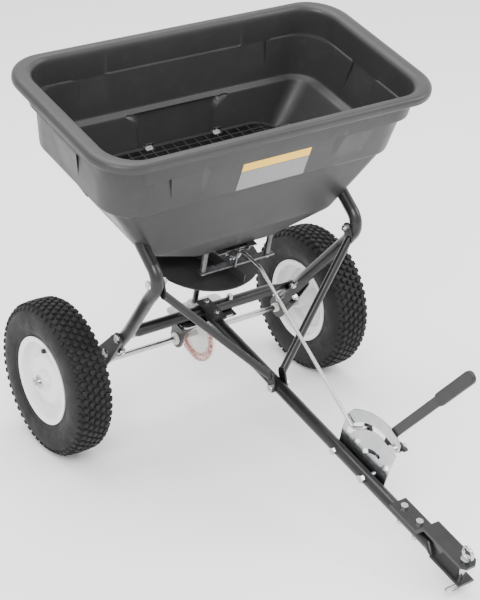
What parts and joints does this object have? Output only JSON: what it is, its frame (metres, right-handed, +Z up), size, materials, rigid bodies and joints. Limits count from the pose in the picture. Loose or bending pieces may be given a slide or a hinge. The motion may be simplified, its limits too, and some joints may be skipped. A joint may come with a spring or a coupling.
{
  "type": "broadcast spreader",
  "caption": "Tow-behind broadcast spreader: deep hopper on a bent tube frame with a spinning disc, ground drive, flow lever and pin hitch.",
  "frame": {"origin": "on the ground, under the middle of the whole machine", "axes": "+Z up, +X along the axle towards the driving wheel, -Y towards the hitch; the machine leans forward and stands on its two tyres and the hitch pin"},
  "size_m": [0.77, 1.0415, 0.8132],
  "materials": {
    "hopper_plastic": "moulded, fine texture",
    "black_plastic": "satin",
    "nylon": "satin",
    "black_paint": "gloss powder coat",
    "white_paint": "gloss",
    "tyre_rubber": "moulded",
    "valve_rubber": "satin",
    "zinc": "bright zinc plate"
  },
  "bodies": {
    "chassis": {"axle_bushings": "nylon", "brace_junction_bolt": "zinc", "carriage_bolts": "zinc", "control_plate": "zinc", "cross_rail": "zinc", "cross_tube": "black_paint", "floor_screws": "zinc", "gate_guides": "zinc", "grate_clips": "zinc", "hex_bolts": "zinc", "hitch_strap": "black_paint", "hopper_grate": "black_plastic", "hopper_shell": "hopper_plastic", "left_axle_plate": "black_paint", "left_brace": "black_paint", "left_frame_tube": "black_paint", "left_gear_bracket": "black_paint", "lever_pivot_bolt": "zinc", "lock_nuts": "zinc", "rail_spacers": "zinc", "right_axle_plate": "black_paint", "right_brace": "black_paint", "right_frame_tube": "black_paint", "right_gear_bracket": "black_paint", "shaft_bushings": "nylon", "shaft_plate": "zinc", "tongue_strap": "black_paint", "tongue_tube": "black_paint"},
    "drive_axle": {"axle": "zinc", "axle_washers": "zinc", "axle_spacers": "zinc", "axle_cotter_pins": "zinc", "crown_gear": "nylon", "gear_pin": "zinc", "drive_wheel_bushings": "nylon", "drive_wheel_hub": "white_paint", "drive_wheel_rim": "white_paint", "drive_wheel_tyre": "tyre_rubber", "drive_wheel_valve": "valve_rubber"},
    "free_wheel": {"free_wheel_bushings": "nylon", "free_wheel_hub": "white_paint", "free_wheel_rim": "white_paint", "free_wheel_tyre": "tyre_rubber", "free_wheel_valve": "valve_rubber"},
    "impeller_shaft": {"upright_shaft": "zinc", "pinion": "nylon", "impeller": "black_plastic", "impeller_pin": "zinc", "agitator": "zinc"},
    "control_lever_assembly": {"control_lever": "black_paint", "lever_grip": "black_plastic"},
    "control_rod_link": {"control_rod": "zinc", "rod_retainer": "zinc"},
    "gate": {"flow_gate": "zinc"},
    "flow_stop": {"stop_bolt": "zinc"},
    "wing_knob": {"stop_knob": "black_plastic"},
    "drop_pin": {"hitch_pin": "zinc", "hitch_pin_clip": "zinc"}
  },
  "joints": [
    {"name": "drive_axle_spin", "type": "hinge", "parent": "chassis", "child": "drive_axle", "pos_m": [0, 0.36079, 0.16], "axis": [1, 0, 0], "continuous": true},
    {"name": "free_wheel_spin", "type": "hinge", "parent": "chassis", "child": "free_wheel", "pos_m": [-0.32, 0.36079, 0.16], "axis": [1, 0, 0], "continuous": true},
    {"name": "impeller_spin", "type": "hinge", "parent": "chassis", "child": "impeller_shaft", "pos_m": [0, 0.30894, 0.35834], "axis": [0, -0.2529, 0.9675], "continuous": true},
    {"name": "lever_swing", "type": "hinge", "parent": "chassis", "child": "control_lever_assembly", "pos_m": [0.0195, -0.22973, 0.10589], "axis": [-1, 0, 0], "range_deg": [0, 30]},
    {"name": "rod_swing", "type": "hinge", "parent": "control_lever_assembly", "child": "control_rod_link", "pos_m": [0.0195, -0.20383, 0.19417], "axis": [-1, 0, 0], "range_deg": [-34.85, 0.5]},
    {"name": "gate_slide", "type": "slide", "parent": "chassis", "child": "gate", "axis": [0, 0.9675, 0.2529], "range_m": [0, 0.0269]},
    {"name": "stop_travel", "type": "hinge", "parent": "chassis", "child": "flow_stop", "pos_m": [0.0145, -0.22973, 0.10589], "axis": [1, 0, 0], "range_deg": [0, 3.5]},
    {"name": "wing_knob_turn", "type": "hinge", "parent": "flow_stop", "child": "wing_knob", "pos_m": [0.028, -0.28237, 0.18437], "axis": [1, 0, 0], "continuous": true},
    {"name": "hitch_pin_turn", "type": "hinge", "parent": "chassis", "child": "drop_pin", "pos_m": [0, -0.49187, 0.03323], "axis": [0, -0.2529, 0.9675], "continuous": true}
  ],
  "couplings": [
    {"joint": "impeller_spin", "follows": "drive_axle_spin", "ratio": -4},
    {"joint": "gate_slide", "follows": "lever_swing", "m_per_rad": 0.0505},
    {"joint": "rod_swing", "follows": "lever_swing", "ratio": -1.145}
  ]
}
